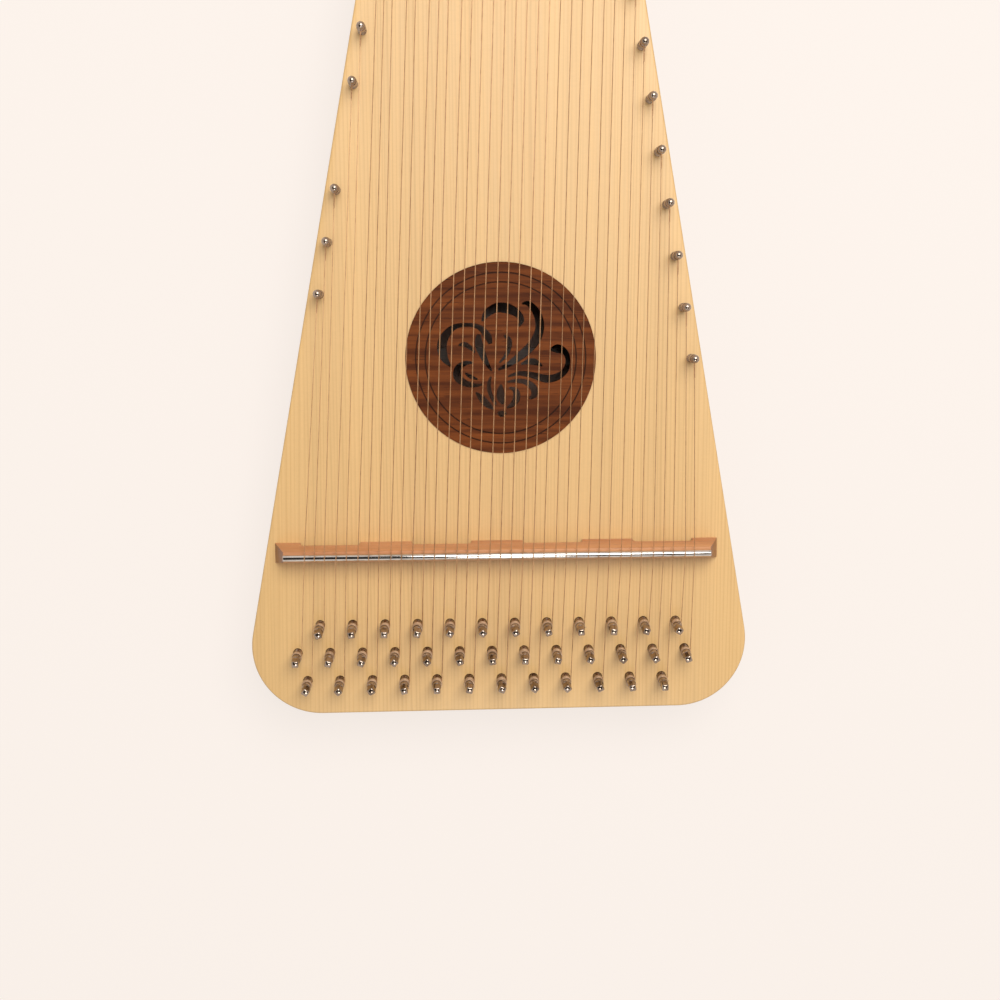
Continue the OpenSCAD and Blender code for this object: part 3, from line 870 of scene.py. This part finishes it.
def winding(k):
    """The wire round a pin: a level turn, then a climb clockwise and a last bend into the pin's hole."""
    place = pins[k]
    wire = STRING_D[octave(k)]
    reach = PIN_R + wire / 2
    pitch = wire * COIL_SPACING
    turns = LEAST_TURNS + MORE_TURNS * (k * GOLDEN % 1)
    start_z = coil_z(k)

    def on_coil(angle, radius, z):
        return place(radius * math.cos(angle), -radius * math.sin(angle), z)

    shape = Shape()
    shape.torus(place(0, 0, start_z), place.x, place.y, reach, wire / 2, LEVEL_TURN_STEPS, WIRE_SIDES)
    path = []
    count = int(turns * COIL_STEPS)
    for i in range(count + 1):
        path.append(on_coil(2 * math.pi * i / COIL_STEPS, reach, start_z + pitch * i / COIL_STEPS))
    end_z = start_z + pitch * count / COIL_STEPS
    end_angle = 2 * math.pi * count / COIL_STEPS
    for i in range(1, RISE_STEPS + 1):
        share = i / RISE_STEPS
        ease = share * share * (3 - 2 * share)
        path.append(on_coil(end_angle + RISE_ANGLE * share, reach, end_z + (WIRE_HOLE_Z - end_z) * ease))
    hole_angle = end_angle + RISE_ANGLE
    for share in (0.35, 0.7, 1.0):
        radius = reach - BEND * share * share * 2
        path.append(on_coil(hole_angle + BEND * share * 0.35, radius, WIRE_HOLE_Z))
    path.append(on_coil(hole_angle + 0.2, PIN_R * 0.3, WIRE_HOLE_Z))
    shape.tube(path, wire / 2, WIRE_SIDES)
    far_angle = hole_angle + math.pi
    tail = [on_coil(far_angle, r, WIRE_HOLE_Z + 0.1 * i) for i, r in enumerate(WIRE_END_R)]
    shape.tube(tail, wire / 2, WIRE_SIDES)
    name = f"tuning_pin_{k + 1:02d}"
    piece(f"pin_winding_{k + 1:02d}", shape, coil_steel, name, [name])


for k in range(STRINGS):
    tuning_pin(k)
    winding(k)


# Strings: a loop round the hitch pin's neck, twisted back on itself, then over the rod to the pin

def over_rod(start, end):
    """Where the straight line between two points crosses the rod, seen from above."""
    slope = math.tan(BRIDGE_SKEW)
    run = end - start
    behind = rod_middle.y + (start.x - rod_middle.x) * slope - start.y
    share = behind / (run.y - slope * run.x)
    return Vector((start.x + share * run.x, start.y + share * run.y, ROD_Z))


def string_wire(shape, k):
    """Adds one string, from its loop to the level turn of its winding."""
    wire = STRING_D[octave(k)]
    hitch = hitch_place(k)
    hitch.z = LOOP_Z
    end = pins[k](PIN_R + wire / 2, 0, coil_z(k))
    away = Vector((end.x - hitch.x, end.y - hitch.y, 0)).normalized()
    start = hitch + away * (NECK_R + wire * 0.9)

    over = over_rod(start, end)
    lift = ROD_R + wire / 2
    rise = math.atan2(ROD_Z + lift - start.z, (over - start).xy.length)
    fall = math.atan2(ROD_Z + lift - end.z, (over - end).xy.length)
    crown = []
    for i in range(OVER_ROD_STEPS + 1):
        a = -rise + (rise + fall) * i / OVER_ROD_STEPS
        crown.append(over + away * lift * math.sin(a) + UP * lift * math.cos(a))

    shape.torus(hitch, away, UP.cross(away), NECK_R + wire / 2, wire / 2, LOOP_STEPS, WIRE_SIDES)
    along = (crown[0] - start).normalized()
    side = along.cross(UP).normalized()
    up = side.cross(along)
    steps = TWIST_TURNS * TWIST_STEPS
    strands = []
    for phase in (0.0, math.pi):
        strand = []
        for i in range(steps + 1):
            a = phase + 2 * math.pi * TWIST_TURNS * i / steps
            offset = (side * math.cos(a) + up * math.sin(a)) * wire * 0.5
            strand.append(start + along * TWIST_LEN * i / steps + offset)
        strands.append(strand)
    straight = start + along * (TWIST_LEN + 2)
    shape.tube(strands[0] + [straight] + crown + [end], wire / 2, WIRE_SIDES)
    shape.tube(strands[1], wire / 2, WIRE_SIDES)


for number, octave_name in enumerate(OCTAVES):
    shape = Shape()
    for k in range(STRINGS):
        if octave(k) == number:
            string_wire(shape, k)
    piece(f"wire_{octave_name}", shape, wire_steel, "body", [f"strings_{octave_name}"])


# Floor, light and camera, in metres

BACKGROUND = srgb(252, 243, 236)
FLOOR_SIZE = 40
FLOOR_DROP = 0.0002
GLOW_NEAR = 1.2
GLOW_FAR = 4.0


def seen_directly(nodes, links):
    """1 for what the camera sees, also in reflections and through glass."""
    path = nodes.new("ShaderNodeLightPath")
    total = None
    for name in ("Is Camera Ray", "Is Glossy Ray", "Is Transmission Ray"):
        if total is None:
            total = path.outputs[name]
            continue
        node = nodes.new("ShaderNodeMath")
        node.operation = "MAXIMUM"
        links.new(total, node.inputs[0])
        links.new(path.outputs[name], node.inputs[1])
        total = node.outputs["Value"]
    return total


def make_world(ambient):
    """A plain pale studio that lights the object softly from all sides."""
    world = bpy.data.worlds.new("studio")
    bpy.context.scene.world = world
    world.use_nodes = True
    nodes = world.node_tree.nodes
    links = world.node_tree.links
    plain = nodes["Background"]
    plain.inputs["Color"].default_value = (1.0, 0.985, 0.965, 1.0)
    plain.inputs["Strength"].default_value = ambient
    seen = nodes.new("ShaderNodeBackground")
    seen.inputs["Color"].default_value = BACKGROUND
    seen.inputs["Strength"].default_value = 1.0
    mix = nodes.new("ShaderNodeMixShader")
    links.new(seen_directly(nodes, links), mix.inputs["Fac"])
    links.new(plain.outputs["Background"], mix.inputs[1])
    links.new(seen.outputs["Background"], mix.inputs[2])
    links.new(mix.outputs["Shader"], nodes["World Output"].inputs["Surface"])


def make_floor(glow, far_glow, diffuse):
    """A pale floor: a share of its colour is given, more so far away, and the rest takes the light."""
    bpy.ops.mesh.primitive_plane_add(size=FLOOR_SIZE, location=(0, 0, -FLOOR_DROP))
    floor = bpy.context.object
    floor.name = "floor"
    material = bpy.data.materials.new("floor")
    material.use_nodes = True
    nodes = material.node_tree.nodes
    links = material.node_tree.links
    nodes.remove(nodes["Principled BSDF"])
    matt = nodes.new("ShaderNodeBsdfDiffuse")
    matt.inputs["Color"].default_value = tuple(c * diffuse for c in BACKGROUND[:3]) + (1.0,)
    shine = nodes.new("ShaderNodeEmission")
    shine.inputs["Color"].default_value = BACKGROUND
    reach = nodes.new("ShaderNodeVectorMath")
    reach.operation = "LENGTH"
    links.new(nodes.new("ShaderNodeTexCoord").outputs["Object"], reach.inputs[0])
    share = nodes.new("ShaderNodeMapRange")
    share.inputs["From Min"].default_value = GLOW_NEAR
    share.inputs["From Max"].default_value = GLOW_FAR
    share.inputs["To Min"].default_value = glow
    share.inputs["To Max"].default_value = far_glow
    links.new(reach.outputs["Value"], share.inputs["Value"])
    strength = nodes.new("ShaderNodeMath")
    strength.operation = "MULTIPLY"
    links.new(share.outputs["Result"], strength.inputs[1])
    links.new(seen_directly(nodes, links), strength.inputs[0])
    links.new(strength.outputs["Value"], shine.inputs["Strength"])
    total = nodes.new("ShaderNodeAddShader")
    links.new(matt.outputs["BSDF"], total.inputs[0])
    links.new(shine.outputs["Emission"], total.inputs[1])
    links.new(total.outputs["Shader"], nodes["Material Output"].inputs["Surface"])
    floor.data.materials.append(material)


def make_lamp(name, place, target, size, power, colour):
    """A round soft lamp that shines at a target."""
    light = bpy.data.lights.new(name, "AREA")
    light.shape = "DISK"
    light.size = size
    light.energy = power
    light.color = colour
    lamp = bpy.data.objects.new(name, light)
    bpy.context.scene.collection.objects.link(lamp)
    lamp.location = place
    lamp.rotation_euler = (Vector(target) - Vector(place)).to_track_quat("-Z", "Y").to_euler()
    return lamp


def make_dark_card():
    """A dark ceiling over the instrument that only reflections show, for contrast on the metal."""
    bpy.ops.mesh.primitive_circle_add(radius=1.6, fill_type="NGON", vertices=64, location=(0, -0.1, 1.7))
    card = bpy.context.object
    card.name = "dark_ceiling"
    material = bpy.data.materials.new("dark_ceiling")
    material.use_nodes = True
    shader = material.node_tree.nodes["Principled BSDF"]
    shader.inputs["Base Color"].default_value = (0.03, 0.025, 0.02, 1)
    card.data.materials.append(material)
    card.visible_camera = False
    card.visible_diffuse = False
    card.visible_shadow = False
    card.visible_transmission = False


def make_camera():
    """The photograph's view: nearly straight down over the rosette, leaning towards the tail."""
    data = bpy.data.cameras.new("camera")
    data.lens = 52.2
    data.sensor_fit = "HORIZONTAL"
    data.sensor_width = 36
    data.clip_start = 0.01
    data.clip_end = 100
    camera = bpy.data.objects.new("camera", data)
    bpy.context.scene.collection.objects.link(camera)
    yaw = math.radians(1.97)
    tilt = math.radians(7.43)
    roll = math.radians(0.07)
    ahead = Vector((math.tan(yaw), -math.tan(tilt), -1)).normalized()
    level = ahead.cross(Vector((0, 1, 0))).normalized()
    upright = level.cross(ahead)
    right = level * math.cos(roll) + upright * math.sin(roll)
    up = right.cross(ahead)
    turn = Matrix((right, up, -ahead)).transposed()
    place = Matrix.Translation((-0.0285, -0.1790, 0.8738))
    camera.matrix_world = place @ turn.to_4x4()
    bpy.context.scene.camera = camera


make_world(0.52)
make_floor(0.84, 0.945, 0.14)
make_lamp("key", (0.28, 0.45, 1.5), (0, -0.04, 0), 1.2, 23.0, (1.0, 0.97, 0.93))
glint = make_lamp("glint", (0.1, -1.2, 1.5), (0, -0.3, 0), 0.4, 5, (1.0, 0.98, 0.96))
glint.visible_diffuse = False
make_dark_card()
make_camera()
bpy.context.scene.view_settings.view_transform = "Standard"
